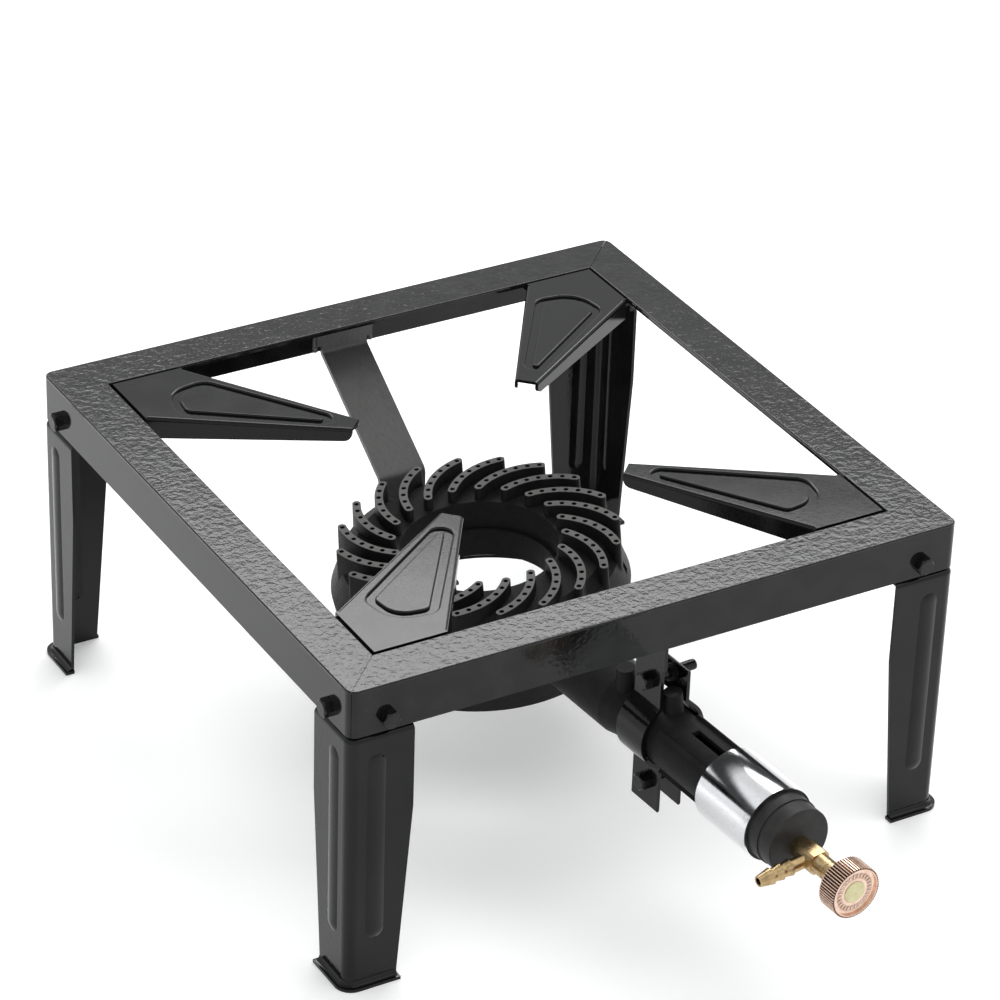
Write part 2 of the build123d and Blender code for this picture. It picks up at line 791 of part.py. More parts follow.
def jet_nozzle():
    head_end = shank_end_y + jet_head_length
    nose_end = head_end + jet_nose_length
    jet = rod_y(jet_thread_radius, shank_end_y, jet_thread_y, z=valve_z)
    jet += Pos(0, shank_end_y, valve_z) * Rot(-90, 0, 0) * hexagon(jet_flats, jet_head_length)
    jet += cone_y(jet_tip_radius, jet_nose_radius, nose_end, head_end, z=valve_z)
    jet -= rod_y(shank_bore_radius, head_end, jet_thread_y, z=valve_z)
    return jet - rod_y(jet_orifice_radius, nose_end, head_end, z=valve_z)


def gland_nut():
    nose_y = packing_y - seal_length
    nut = rod_y(packing_radius - thread_fit, nose_y, body_end_y, z=valve_z)
    nut += rod_y(gland_radius, body_end_y, gland_end_y, z=valve_z)
    middle_y = body_end_y - gland_length / 2
    half_groove = gland_groove_width / 2
    groove = rod_y(gland_radius, middle_y + half_groove, middle_y - half_groove, z=valve_z)
    nut -= groove - rod_y(gland_radius - gland_groove_depth, body_end_y, gland_end_y, z=valve_z)
    return nut - rod_y(stem_radius + stem_fit, nose_y, gland_end_y, z=valve_z)


def spindle_seal():
    ring = rod_y(packing_radius - thread_fit, packing_y, packing_y - seal_length, z=valve_z)
    return ring - rod_y(stem_radius + stem_fit, packing_y, packing_y - seal_length, z=valve_z)


hub_end_y = gland_end_y - knob_gap
knob_rear_y = hub_end_y - knob_hub_length
knob_front_y = knob_rear_y - knob_length
knob_face_y = knob_front_y + knob_face_recess
disc_seat_y = knob_face_y + disc_pocket


def valve_spindle():
    tip_y = seat_front_y + needle_in_seat
    cone_base_y = tip_y - needle_tip_length
    shoulder_y = cone_base_y - needle_length
    spindle = rod_y(stem_radius, shoulder_y, disc_seat_y, z=valve_z)
    spindle += rod_y(needle_radius, cone_base_y, shoulder_y, z=valve_z)
    return spindle + cone_y(needle_tip_radius, needle_radius, tip_y, cone_base_y, z=valve_z)


def valve_knob():
    plan = Circle(knob_radius) - PolarLocations(knob_radius, knurl_count) * Circle(knurl_radius)
    knob = Pos(0, knob_rear_y, valve_z) * Rot(90, 0, 0) * extrude(plan, knob_length)
    web_y = knob_rear_y - knob_back_recess
    knob -= rod_y(knob_radius - knob_wall, knob_rear_y, web_y, z=valve_z)
    knob += rod_y(knob_hub_radius, hub_end_y, web_y, z=valve_z)
    knob -= rod_y(knob_radius - knob_rim, knob_face_y, knob_front_y, z=valve_z)
    knob -= rod_y(disc_radius + knob_fit, disc_seat_y, knob_face_y, z=valve_z)
    return knob - rod_y(stem_radius + knob_fit, hub_end_y, disc_seat_y, z=valve_z)


def knob_disc():
    disc = rod_y(disc_radius, disc_seat_y, disc_seat_y - disc_thick, z=valve_z)
    return chamfer(disc.edges().filter_by(GeomType.CIRCLE).sort_by(Axis.Y)[0], disc_thick / 4)


save(burner_frame * valve_body(), "valve_body")
save(burner_frame * jet_nozzle(), "jet_nozzle")
save(burner_frame * gland_nut(), "gland_nut")
save(burner_frame * spindle_seal(), "spindle_seal")
save(burner_frame * valve_spindle(), "valve_spindle")
save(burner_frame * valve_knob(), "valve_knob")
save(burner_frame * knob_disc(), "knob_disc")


# Pipe clamp. The pipe rests in the bottom of the ring; the left half also
# reaches up behind the front rail and is welded to its flange by a folded foot.
ring_middle = clamp_inner_radius + clamp_thick / 2
clamp_z = pipe_z + clamp_inner_radius - pipe_radius - clamp_seat
bolt_y = (clamp_front_y + clamp_rear_y) / 2
clamp_left_top = stand_height - clamp_top_drop - burner_lift


def clamp_half(top_z):
    """The half on the +X side, from the top of its upper ear to the end of the lower one."""
    turn = ring_middle / sqrt(2)
    ear_foot_z = clamp_z + 2 * turn - clamp_upper_ear
    ring_foot_z = clamp_z - sqrt(ring_middle**2 - clamp_lower_ear**2)
    upper = Polyline((clamp_upper_ear, top_z), (clamp_upper_ear, ear_foot_z), (turn, clamp_z + turn))
    side = ThreePointArc((turn, clamp_z + turn), (ring_middle, clamp_z), (clamp_lower_ear, ring_foot_z))
    lower = Line((clamp_lower_ear, ring_foot_z), (clamp_lower_ear, clamp_bottom))
    line = Wire(upper.edges() + side.edges() + lower.edges())
    strip = extrude(Plane.XZ * sheet_band(line, clamp_thick), clamp_length)
    strip = Pos(0, clamp_rear_y, 0) * strip
    for z in (clamp_upper_bolt_z, clamp_lower_bolt_z):
        strip -= rod_x(m6_hole / 2, 0, clamp_upper_ear + clamp_thick, bolt_y, z)
    return strip


def clamp_foot():
    """Fold at the top of the left ear that lies flat on the inside of the front flange."""
    ear_x = (clamp_frame * Location((-clamp_upper_ear, clamp_front_y, 0))).position.X
    plate_top = stand_height - clamp_top_drop
    plate = block(ear_x - clamp_foot_width, ear_x + clamp_thick / 2,
                  -flange_inner, -flange_inner + clamp_thick,
                  plate_top - clamp_foot_height, plate_top)
    web = block(-clamp_upper_ear - clamp_thick / 2, -clamp_upper_ear + clamp_thick / 2,
                clamp_front_y - clamp_thick, clamp_front_y + clamp_thick,
                clamp_left_top - clamp_web_height, clamp_left_top)
    return plate + clamp_frame * web


def clamp_bolt(z, ear, end):
    face = ear + clamp_thick / 2
    head = Pos(-face, bolt_y, z) * Rot(0, -90, 0) * hexagon(m6_flats, m6_head_height)
    return head + rod_x(m6 / 2, -face, end, bolt_y, z)


def clamp_nut(z, start):
    nut = Pos(start, bolt_y, z) * Rot(0, 90, 0) * hexagon(m6_flats, m6_nut_height)
    return nut - rod_x(m6 / 2 + thread_fit, start, start + m6_nut_height, bolt_y, z)


left_half = mirror(clamp_half(clamp_left_top), about=Plane.YZ)
save(clamp_frame * left_half + clamp_foot(), "clamp_left_half")
save(clamp_frame * clamp_half(clamp_right_top), "clamp_right_half")
upper_nut_start = clamp_upper_ear - clamp_thick / 2 - m6_nut_height
lower_nut_start = clamp_lower_ear + clamp_thick / 2
screws = (
    ("upper", clamp_upper_bolt_z, clamp_upper_ear, clamp_upper_bolt_end, upper_nut_start),
    ("lower", clamp_lower_bolt_z, clamp_lower_ear, clamp_lower_bolt_end, lower_nut_start),
)
for level, z, ear, end, nut_start in screws:
    save(clamp_frame * clamp_bolt(z, ear, end), f"clamp_{level}_bolt")
    save(clamp_frame * clamp_nut(z, nut_start), f"clamp_{level}_nut")
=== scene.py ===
import bpy
import bmesh
from math import cos, radians, sin
from mathutils import Matrix, Vector


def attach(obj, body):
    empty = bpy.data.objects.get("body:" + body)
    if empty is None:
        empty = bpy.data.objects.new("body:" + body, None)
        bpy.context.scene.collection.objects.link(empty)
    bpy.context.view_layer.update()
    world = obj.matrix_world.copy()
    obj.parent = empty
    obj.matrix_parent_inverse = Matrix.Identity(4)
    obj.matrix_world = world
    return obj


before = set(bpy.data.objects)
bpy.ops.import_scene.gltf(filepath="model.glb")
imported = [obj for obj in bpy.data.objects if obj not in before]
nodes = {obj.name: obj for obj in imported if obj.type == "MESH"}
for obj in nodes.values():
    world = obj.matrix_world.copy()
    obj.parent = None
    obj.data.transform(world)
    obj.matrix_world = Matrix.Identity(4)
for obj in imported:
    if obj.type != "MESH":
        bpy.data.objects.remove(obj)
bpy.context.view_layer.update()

# Frame. Four lengths of 30 mm steel angle, mitred and welded into a square and
# stove enamelled black. The paint is hammered on top and nearly smooth on the
# sides, with one rougher patch on the front face.
frame_top = 0.2000
frame_top_blend = 0.0012
front_face = -0.1995
run_middle = -0.050
run_reach = 0.042
run_relief_share = 0.4
side_relief_share = 0.05
frame_black = (0.0050, 0.0050, 0.0052, 1)
frame_grey = (0.0100, 0.0100, 0.0103, 1)
frame_rough = (0.07, 0.10)
frame_shine = 0.27
frame_relief = 0.00045


def new_tree(name, kind, inputs, outputs):
    """An empty node tree of this kind with these sockets, as (name, socket type)."""
    tree = bpy.data.node_groups.new(name, kind)
    for label, socket in inputs:
        tree.interface.new_socket(label, in_out="INPUT", socket_type=socket)
    for label, socket in outputs:
        tree.interface.new_socket(label, in_out="OUTPUT", socket_type=socket)
    return tree, tree.nodes.new("NodeGroupInput"), tree.nodes.new("NodeGroupOutput")


def place(tree, kind, links=None, **settings):
    """A node of this kind, with its settings, plain input values and links in one go."""
    node = tree.nodes.new(kind)
    for label, value in settings.items():
        setattr(node, label, value)
    for label, value in (links or {}).items():
        socket = node.inputs[label]
        if isinstance(value, bpy.types.NodeSocket):
            tree.links.new(value, socket)
        else:
            socket.default_value = value
    return node


def maths(tree, operation, *values):
    """The result of one operation on numbers, each a socket or a plain value."""
    return place(tree, "ShaderNodeMath", dict(enumerate(values)), operation=operation).outputs[0]


def noise(tree, where, scale, detail, **shape):
    """A noise value; shape holds the inputs that differ from the node's own."""
    return place(tree, "ShaderNodeTexNoise", {
        "Vector": where, "Scale": scale, "Detail": detail, **shape}).outputs["Fac"]


def mixed(tree, share, first, second):
    """A number that runs from first to second with share."""
    mix = place(tree, "ShaderNodeMix", {"Factor": share, "A": first, "B": second})
    return mix.outputs["Result"]


def between(tree, share, first, second):
    """A colour that runs from first to second with share, each a socket or a colour."""
    mix = place(tree, "ShaderNodeMix", {0: share, 6: first, 7: second}, data_type="RGBA")
    return mix.outputs[2]


def ramp(tree, value, low, high, to_low=0.0, to_high=1.0):
    """value mapped from low..high to to_low..to_high, with both ends held."""
    node = place(tree, "ShaderNodeMapRange", {
        "Value": value, "From Min": low, "From Max": high, "To Min": to_low, "To Max": to_high})
    return node.outputs["Result"]


def paint_skin_group():
    """Sprayed and baked paint: slow waves, finer peel and grit, as one height and one mask."""
    tree, start, end = new_tree("paint_skin", "ShaderNodeTree", [
        ("Vector", "NodeSocketVector"), ("Wave Scale", "NodeSocketFloat"),
        ("Peel Scale", "NodeSocketFloat"), ("Peel Share", "NodeSocketFloat"),
        ("Grit Scale", "NodeSocketFloat"), ("Grit Share", "NodeSocketFloat")],
        [("Height", "NodeSocketFloat"), ("Mottle", "NodeSocketFloat")])
    given = start.outputs
    wave = noise(tree, given["Vector"], given["Wave Scale"], 1.0)
    peel = noise(tree, given["Vector"], given["Peel Scale"], 2.0, Roughness=0.55, Distortion=0.3)
    grit = noise(tree, given["Vector"], given["Grit Scale"], 2.0)
    with_peel = mixed(tree, given["Peel Share"], wave, peel)
    tree.links.new(mixed(tree, given["Grit Share"], with_peel, grit), end.inputs["Height"])
    tree.links.new(ramp(tree, wave, 0.35, 0.65), end.inputs["Mottle"])
    return tree


paint_skin = paint_skin_group()


def skin(tree, where, **values):
    """The paint skin group placed in a material; values are its inputs, with _ for a space."""
    inputs = {label.replace("_", " "): value for label, value in values.items()}
    node = place(tree, "ShaderNodeGroup", {"Vector": where, **inputs}, node_tree=paint_skin)
    return node.outputs["Height"], node.outputs["Mottle"]


def material_start(name):
    """A new node material: its tree, its Principled shader and its Object coordinates."""
    made = bpy.data.materials.new(name)
    made.use_nodes = True
    tree = made.node_tree
    shader = tree.nodes["Principled BSDF"]
    where = place(tree, "ShaderNodeTexCoord").outputs["Object"]
    return made, tree, shader, where


def coat(tree, shader, colour, mottle, rough, shine):
    """Sets the colour, the roughness, which follows mottle, and the specular level."""
    tree.links.new(colour, shader.inputs["Base Color"])
    tree.links.new(ramp(tree, mottle, 0, 1, *rough), shader.inputs["Roughness"])
    shader.inputs["Specular IOR Level"].default_value = shine


def bump(tree, shader, height, relief):
    """Height into the shader's Normal; relief is its depth in metres."""
    node = place(tree, "ShaderNodeBump", {"Height": height, "Distance": relief, "Strength": 1.0})
    tree.links.new(node.outputs["Normal"], shader.inputs["Normal"])


def frame_paint():
    made, tree, shader, where = material_start("hammered_black_paint")
    height, mottle = skin(tree, where, Wave_Scale=60.0, Peel_Scale=230.0, Peel_Share=0.75,
                          Grit_Scale=1300.0, Grit_Share=0.10)
    split = place(tree, "ShaderNodeSeparateXYZ", {"Vector": where}).outputs
    on_top = ramp(tree, split["Z"], frame_top - frame_top_blend, frame_top - frame_top_blend / 3)
    away = maths(tree, "ABSOLUTE", maths(tree, "SUBTRACT", split["X"], run_middle))
    in_front = ramp(tree, split["Y"], front_face + frame_top_blend, front_face)
    in_run = maths(tree, "MULTIPLY", in_front, ramp(tree, away, run_reach, run_reach / 2))
    share = maths(tree, "ADD", ramp(tree, on_top, 0, 1, side_relief_share, 1.0),
                  ramp(tree, in_run, 0, 1, 0.0, run_relief_share))
    coat(tree, shader, between(tree, mottle, frame_black, frame_grey), mottle,
         frame_rough, frame_shine)
    bump(tree, shader, maths(tree, "MULTIPLY", height, share), frame_relief)
    return made


def dress(names, finish):
    """Gives every material slot of these CAD nodes one finish."""
    for name in names:
        slots = nodes[name].data.materials
        if len(slots) == 0:
            slots.append(finish)
        for number in range(len(slots)):
            slots[number] = finish


sides = ("front", "right", "back", "left")
dress([f"frame_rail_{side}" for side in sides], frame_paint())


# Legs. Pressed from 2 mm sheet with a rounded corner, a shoulder under the frame,
# one round-backed bead in each wall and a turned-out lip at the foot. Gloss black.
def plain_paint(name, dark, light, rough, shine, relief, **grain):
    """A finish whose colour and roughness follow the skin's mottle, over the skin's relief."""
    made, tree, shader, where = material_start(name)
    height, mottle = skin(tree, where, **grain)
    coat(tree, shader, between(tree, mottle, dark, light), mottle, rough, shine)
    bump(tree, shader, height, relief)
    return made


gloss_black = plain_paint(
    "gloss_black_paint", dark=(0.0030, 0.0030, 0.0032, 1), light=(0.0060, 0.0060, 0.0063, 1),
    rough=(0.06, 0.12), shine=0.24, relief=0.00024,
    Wave_Scale=30.0, Peel_Scale=340.0, Peel_Share=0.35, Grit_Scale=2400.0, Grit_Share=0.05)
dress([f"leg_{corner}" for corner in sides], gloss_black)


# Screws and nuts. M6 hexagon screws of blackened steel with turned chamfers and
# plain nuts: two in each leg, two in the clamp and one under the strap. The free
# ends in the legs and the clamp carry a thread, a pointed ridge swept up a helix.
fastener_black = plain_paint(
    "blackened_screws", dark=(0.0030, 0.0030, 0.0031, 1), light=(0.0090, 0.0090, 0.0092, 1),
    rough=(0.20, 0.34), shine=0.3, relief=0.0001,
    Wave_Scale=180.0, Peel_Scale=900.0, Peel_Share=0.5, Grit_Scale=4000.0, Grit_Share=0.2)
dress(["leg_bolts", "leg_nuts", "strap_screw", "clamp_upper_bolt", "clamp_upper_nut",
       "clamp_lower_bolt", "clamp_lower_nut"], fastener_black)

thread_pitch = 0.0010
thread_crest = 0.00325
thread_depth = 0.0004
thread_steps = 24
ridge_corners = 4
bolt_height = 0.1785
bolt_across = 0.176
leg_nut_end = 0.190
leg_bolt_end = 0.188


def geometry_tree(name, inputs):
    """An empty Geometry Nodes tree with a mesh in and out and these named inputs."""
    mesh = ("Geometry", "NodeSocketGeometry")
    return new_tree(name, "GeometryNodeTree", [mesh] + inputs, [mesh])


def finish_tree(tree, start, end, shape):
    """Realize Instances and Set Material, which every tree ends in."""
    real = place(tree, "GeometryNodeRealizeInstances", {"Geometry": shape})
    dressed = place(tree, "GeometryNodeSetMaterial", {
        "Geometry": real.outputs["Geometry"], "Material": start.outputs["Finish"]})
    tree.links.new(dressed.outputs["Geometry"], end.inputs["Geometry"])


def grown(name, tree, values):
    """The plain mesh object that a tree makes with these input values."""
    seed = bpy.data.objects.new(name + "_seed", bpy.data.meshes.new(name + "_seed"))
    bpy.context.collection.objects.link(seed)
    modifier = seed.modifiers.new("grow", "NODES")
    modifier.node_group = tree
    for item in tree.interface.items_tree:
        if item.in_out == "INPUT" and item.name in values:
            modifier[item.identifier] = values[item.name]
    view = bpy.context.evaluated_depsgraph_get()
    mesh = bpy.data.meshes.new_from_object(seed.evaluated_get(view))
    bpy.data.objects.remove(seed)
    made = bpy.data.objects.new(name, mesh)
    bpy.context.collection.objects.link(made)
    return made


def set_in_place(piece, start, way):
    """Moves the mesh, not the object: its origin to start and its +Z along way."""
    turned = way.to_track_quat("Z", "Y").to_matrix().to_4x4()
    piece.data.transform(Matrix.Translation(start) @ turned)


def thread_tree():
    """A ridge that winds up +Z from the origin, with a pointed crest."""
    tree, start, end = geometry_tree("screw_thread", [
        ("Crest Radius", "NodeSocketFloat"), ("Pitch", "NodeSocketFloat"),
        ("Depth", "NodeSocketFloat"), ("Length", "NodeSocketFloat"),
        ("Finish", "NodeSocketMaterial")])
    given = start.outputs
    turns = maths(tree, "DIVIDE", given["Length"], given["Pitch"])
    root = maths(tree, "SUBTRACT", given["Crest Radius"], given["Depth"])
    helix = place(tree, "GeometryNodeCurveSpiral", {
        "Resolution": thread_steps, "Rotations": turns, "Start Radius": root, "End Radius": root,
        "Height": given["Length"]})
    upright = place(tree, "GeometryNodeSetCurveNormal", {"Curve": helix.outputs[0]}, mode="Z_UP")
    ridge = place(tree, "GeometryNodeCurvePrimitiveCircle", {
        "Resolution": ridge_corners, "Radius": given["Depth"]}, mode="RADIUS")
    swept = place(tree, "GeometryNodeCurveToMesh", {
        "Curve": upright.outputs[0], "Profile Curve": ridge.outputs["Curve"], "Fill Caps": True})
    finish_tree(tree, start, end, swept.outputs["Mesh"])
    return tree


screw_thread = thread_tree()


def thread(name, root, tip):
    """The thread on the free end of a screw, from root to tip."""
    way = tip - root
    made = grown(name, screw_thread, {
        "Crest Radius": thread_crest, "Pitch": thread_pitch, "Depth": thread_depth,
        "Length": way.length - 2 * thread_depth, "Finish": fastener_black})
    set_in_place(made, root + way.normalized() * thread_depth, way)
    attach(made, "stand")


for corner, quarter in zip(sides, (0, 90, 180, 270)):
    around = Matrix.Rotation(radians(quarter), 3, "Z")
    nut_face = Vector((-bolt_across, -leg_nut_end, bolt_height))
    tip = Vector((-bolt_across, -leg_bolt_end, bolt_height))
    thread(f"leg_thread_{corner}_a", around @ nut_face, around @ tip)
    thread(f"leg_thread_{corner}_b", around @ nut_face.yxz, around @ tip.yxz)


# Pot supports. Four arms folded from 2 mm sheet, set corner to middle, with a
# rounded triangle pressed into the top. Smooth paint over rolled sheet: the
# rolling grain shows through it.
def rolled_paint(name, dark, light, rough, shine, relief, stretch, roll_scale, roll_share, **grain):
    """Paint over rolled sheet; stretch draws the rolling grain out, which tints the paint."""
    made, tree, shader, where = material_start(name)
    height, mottle = skin(tree, where, **grain)
    drawn_out = place(tree, "ShaderNodeMapping", {"Vector": where, "Scale": stretch})
    rolled = noise(tree, drawn_out.outputs["Vector"], roll_scale, 3.0)
    coat(tree, shader, between(tree, rolled, dark, light), mottle, rough, shine)
    bump(tree, shader, mixed(tree, roll_share, height, rolled), relief)
    return made


dress([f"pot_support_{corner}" for corner in sides], rolled_paint(
    "satin_black_paint", dark=(0.0036, 0.0036, 0.0038, 1), light=(0.0085, 0.0085, 0.0087, 1),
    rough=(0.07, 0.11), shine=0.22, relief=0.00009,
    stretch=(0.12, 1.0, 1.0), roll_scale=1700.0, roll_share=0.22,
    Wave_Scale=40.0, Peel_Scale=420.0, Peel_Share=0.4, Grit_Scale=2600.0, Grit_Share=0.15))


# Rear strap. Flat bar folded down and in under the burner and painted thinly, so
# that the mill grain shows along it. Its tab is welded behind the back rail by a
# bead at each side, whose ripples are flattened drops set along a line.
strap_finish = rolled_paint(
    "thin_strap_paint", dark=(0.044, 0.0434, 0.0428, 1), light=(0.100, 0.0987, 0.097, 1),
    rough=(0.30, 0.42), shine=0.5, relief=0.0003,
    stretch=(1.0, 0.15, 0.15), roll_scale=1400.0, roll_share=0.3,
    Wave_Scale=70.0, Peel_Scale=500.0, Peel_Share=0.5, Grit_Scale=3000.0, Grit_Share=0.2)
dress(["rear_strap"], strap_finish)

flange_inside = 0.1970
strap_left, strap_right = -0.0145, 0.0245
strap_tab_bottom, strap_tab_top = 0.1712, 0.1846
weld_ripple_gap = 0.0011
weld_radius = 0.0021
ripple_least = (0.82, 0.82, 0.60)
ripple_most = (1.05, 1.05, 0.80)


def vector_maths(tree, operation, *values, output="Vector"):
    """The result of one operation on vectors, each a socket or a plain value."""
    node = place(tree, "ShaderNodeVectorMath", dict(enumerate(values)), operation=operation)
    return node.outputs[output]


def weld_tree():
    """Ripples of a weld bead laid one over another from Start to End, each a little different."""
    tree, start, end = geometry_tree("weld_ripples", [
        ("Start", "NodeSocketVector"), ("End", "NodeSocketVector"), ("Count", "NodeSocketInt"),
        ("Radius", "NodeSocketFloat"), ("Seed", "NodeSocketInt"), ("Finish", "NodeSocketMaterial")])
    given = start.outputs
    line = place(tree, "GeometryNodeMeshLine", {
        "Count": given["Count"], "Start Location": given["Start"], "Offset": given["End"]},
        mode="END_POINTS")
    drop = place(tree, "GeometryNodeMeshIcoSphere", {"Radius": given["Radius"], "Subdivisions": 2})
    low = place(tree, "FunctionNodeRandomValue", {
        "Min": ripple_least, "Max": ripple_most, "Seed": given["Seed"]}, data_type="FLOAT_VECTOR")
    way = vector_maths(tree, "SUBTRACT", given["End"], given["Start"])
    turn = place(tree, "FunctionNodeAlignRotationToVector", {"Vector": way}, axis="Z")
    drops = place(tree, "GeometryNodeInstanceOnPoints", {
        "Points": line.outputs["Mesh"], "Instance": drop.outputs["Mesh"],
        "Rotation": turn.outputs[0], "Scale": low.outputs["Value"]})
    smooth = place(tree, "GeometryNodeSetShadeSmooth", {"Geometry": drops.outputs["Instances"]})
    finish_tree(tree, start, end, smooth.outputs["Geometry"])
    return tree


weld_ripples = weld_tree()


def weld(name, first, last, seed, finish):
    length = (Vector(last) - Vector(first)).length
    made = grown(name, weld_ripples, {
        "Start": first, "End": last, "Count": max(2, round(length / weld_ripple_gap)),
        "Radius": weld_radius, "Seed": seed, "Finish": finish})
    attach(made, "stand")


for side, x, seed in (("left", strap_left, 3), ("right", strap_right, 5)):
    weld(f"strap_weld_{side}", (x, flange_inside, strap_tab_bottom),
         (x, flange_inside, strap_tab_top), seed, strap_finish)


# Burner. One sand casting of grey iron, blacked: ring, swirling ribs with drilled
# ports, and mixing pipe. The crests of the ribs are flat, and their colour is
# painted lighter there as a painted highlight on the tops.
burner_up = Vector((-0.08169, -0.00571, 0.99664))
crest_point = Vector((-0.000348, 0.009572, 0.13357))
crest_wander = 0.00012
crest_top = -0.00015
crest_foot = -0.00045
iron_dark = (0.0135, 0.0135, 0.0136, 1)
iron_light = (0.0165, 0.0165, 0.0166, 1)
# painted highlight colour for the rib crests
crest_painted_highlight = (0.125, 0.125, 0.122, 1)
iron_rough = (0.38, 0.44)
iron_shine = 0.05
iron_relief = 0.00060


def cast_iron():
    made, tree, shader, where = material_start("blacked_cast_iron")
    height, mottle = skin(tree, where, Wave_Scale=120.0, Peel_Scale=700.0, Peel_Share=0.6,
                          Grit_Scale=2600.0, Grit_Share=0.35)
    off_crest = vector_maths(tree, "SUBTRACT", where, crest_point)
    above = vector_maths(tree, "DOT_PRODUCT", off_crest, burner_up, output="Value")
    uneven = maths(tree, "ADD", ramp(tree, mottle, 0, 1, -crest_wander, crest_wander), above)
    blacked = between(tree, mottle, iron_dark, iron_light)
    # painted highlight: above the crest plane the colour is painted lighter
    colour = between(tree, ramp(tree, uneven, crest_foot, crest_top), blacked, crest_painted_highlight)
    coat(tree, shader, colour, mottle, iron_rough, iron_shine)
    bump(tree, shader, height, iron_relief)
    return made


dress(["burner_casting"], cast_iron())


# Air sleeve. Rolled steel tube, bright zinc plated, that slides on the fins of
# the pipe. Fine scuffs run round it and small pits dull the plate.
zinc_bright = (0.80, 0.81, 0.82, 1)
zinc_pitted = (0.42, 0.43, 0.44, 1)
zinc_rough = (0.07, 0.13)
zinc_relief = 0.00003
scuff_stretch = (1.0, 12.0, 1.0)
scuff_share = 0.5


def bright_zinc():
    made, tree, shader, where = material_start("bright_zinc")
    cloud = noise(tree, where, 90.0, 4.0)
    pits = noise(tree, where, 1900.0, 3.0)
    stretched = place(tree, "ShaderNodeMapping", {"Vector": where, "Scale": scuff_stretch})
    scuff = noise(tree, stretched.outputs["Vector"], 160.0, 2.0)
    tree.links.new(between(tree, ramp(tree, pits, 0.56, 0.72), zinc_bright, zinc_pitted),
                   shader.inputs["Base Color"])
    shader.inputs["Metallic"].default_value = 1.0
    tree.links.new(ramp(tree, cloud, 0.3, 0.7, *zinc_rough), shader.inputs["Roughness"])
    bump(tree, shader, mixed(tree, scuff_share, pits, scuff), zinc_relief)
    return made


dress(["air_sleeve"], bright_zinc())


# End cap and spindle seal. Moulded in black heat-proof plastic, matte, with a faint
# skin from the mould. The cap's turned flange seats in the mouth of the pipe.
moulded_black = plain_paint(
    "moulded_black", dark=(0.016, 0.016, 0.0160, 1), light=(0.030, 0.0293, 0.0285, 1),
    rough=(0.42, 0.54), shine=0.2, relief=0.00016,
    Wave_Scale=110.0, Peel_Scale=900.0, Peel_Share=0.5, Grit_Scale=3200.0, Grit_Share=0.3)
dress(["end_cap", "spindle_seal"], moulded_black)


# Valve. Turned and stamped brass: block, hose barb, gland nut, jet and spindle.
# It has dull and brighter clouds, and a fine grain that makes its shine uneven.
metal_relief = 0.00002


def bare_metal(name, dull, bright, grain_scale, rough, tint=None):
    """Bare metal in dull and bright clouds; tint(tree, where, colour) changes its colour."""
    made, tree, shader, where = material_start(name)
    cloud = noise(tree, where, 260.0, 4.0)
    fine = noise(tree, where, grain_scale, 3.0)
    colour = between(tree, ramp(tree, cloud, 0.3, 0.7), dull, bright)
    if tint:
        colour = tint(tree, where, colour)
    smoothest, roughest = rough
    tree.links.new(colour, shader.inputs["Base Color"])
    shader.inputs["Metallic"].default_value = 1.0
    tree.links.new(ramp(tree, fine, 0.3, 0.7, roughest, smoothest), shader.inputs["Roughness"])
    bump(tree, shader, fine, metal_relief)
    return made


dress(["valve_body", "gland_nut", "jet_nozzle", "valve_spindle"], bare_metal(
    "machined_brass", dull=(0.34, 0.238, 0.118, 1), bright=(0.56, 0.41, 0.22, 1),
    grain_scale=2600.0, rough=(0.20, 0.32)))


# Knob. Copper plated, with fine teeth round its rim, a disc of yellow brass in the
# middle of its face and a ring of raised marks round that. The flutes and the face
# low between the marks are darkened with painted shade.
knob_axis = Vector((0.069756, -0.997564, 0.0))
knob_face = Vector((0.0265016, -0.3644660, 0.0995101))
knob_rim_radius = 0.0160
flute_floor_radius = 0.0154
flute_blend = 0.0003
tick_count = 26
tick_ring_radius = 0.0104
tick_length = 0.0029
tick_width = 0.0011
tick_height = 0.0006
# painted shade colour, laid in the flutes and low between the raised marks
painted_shade_black = (0.055, 0.028, 0.020, 1)
painted_shade_among_ticks = 0.4
shade_ring_half = tick_length * 0.45
shade_ring_edge = tick_length * 0.75
shade_full_height = tick_height * 0.2
shade_top_height = tick_height * 0.6


def flute_painted_shade(tree, where, colour):
    """Painted shade over colour in the flutes and between the marks, placed by the distance from
    the knob's axis and face.
    """
    off = vector_maths(tree, "SUBTRACT", where, knob_face)
    across = vector_maths(tree, "CROSS_PRODUCT", off, knob_axis)
    radius = vector_maths(tree, "LENGTH", across, output="Value")
    raised = vector_maths(tree, "DOT_PRODUCT", off, knob_axis, output="Value")
    below_crest = ramp(tree, radius, knob_rim_radius - flute_blend / 2,
                       flute_floor_radius + flute_blend / 2)
    near_rim = ramp(tree, radius, flute_floor_radius - 2 * flute_blend,
                    flute_floor_radius - flute_blend)
    in_flute = maths(tree, "MULTIPLY", below_crest, near_rim)
    from_ring = maths(tree, "ABSOLUTE", maths(tree, "SUBTRACT", radius, tick_ring_radius))
    among_ticks = maths(
        tree, "MULTIPLY", ramp(tree, from_ring, shade_ring_edge, shade_ring_half, 0.0, painted_shade_among_ticks),
        ramp(tree, raised, shade_top_height, shade_full_height))
    # painted shade: darker in the flutes and low between the marks, where shade falls
    return between(tree, maths(tree, "MAXIMUM", in_flute, among_ticks), colour, painted_shade_black)


def halved(tree, value):
    return maths(tree, "MULTIPLY", value, 0.5)


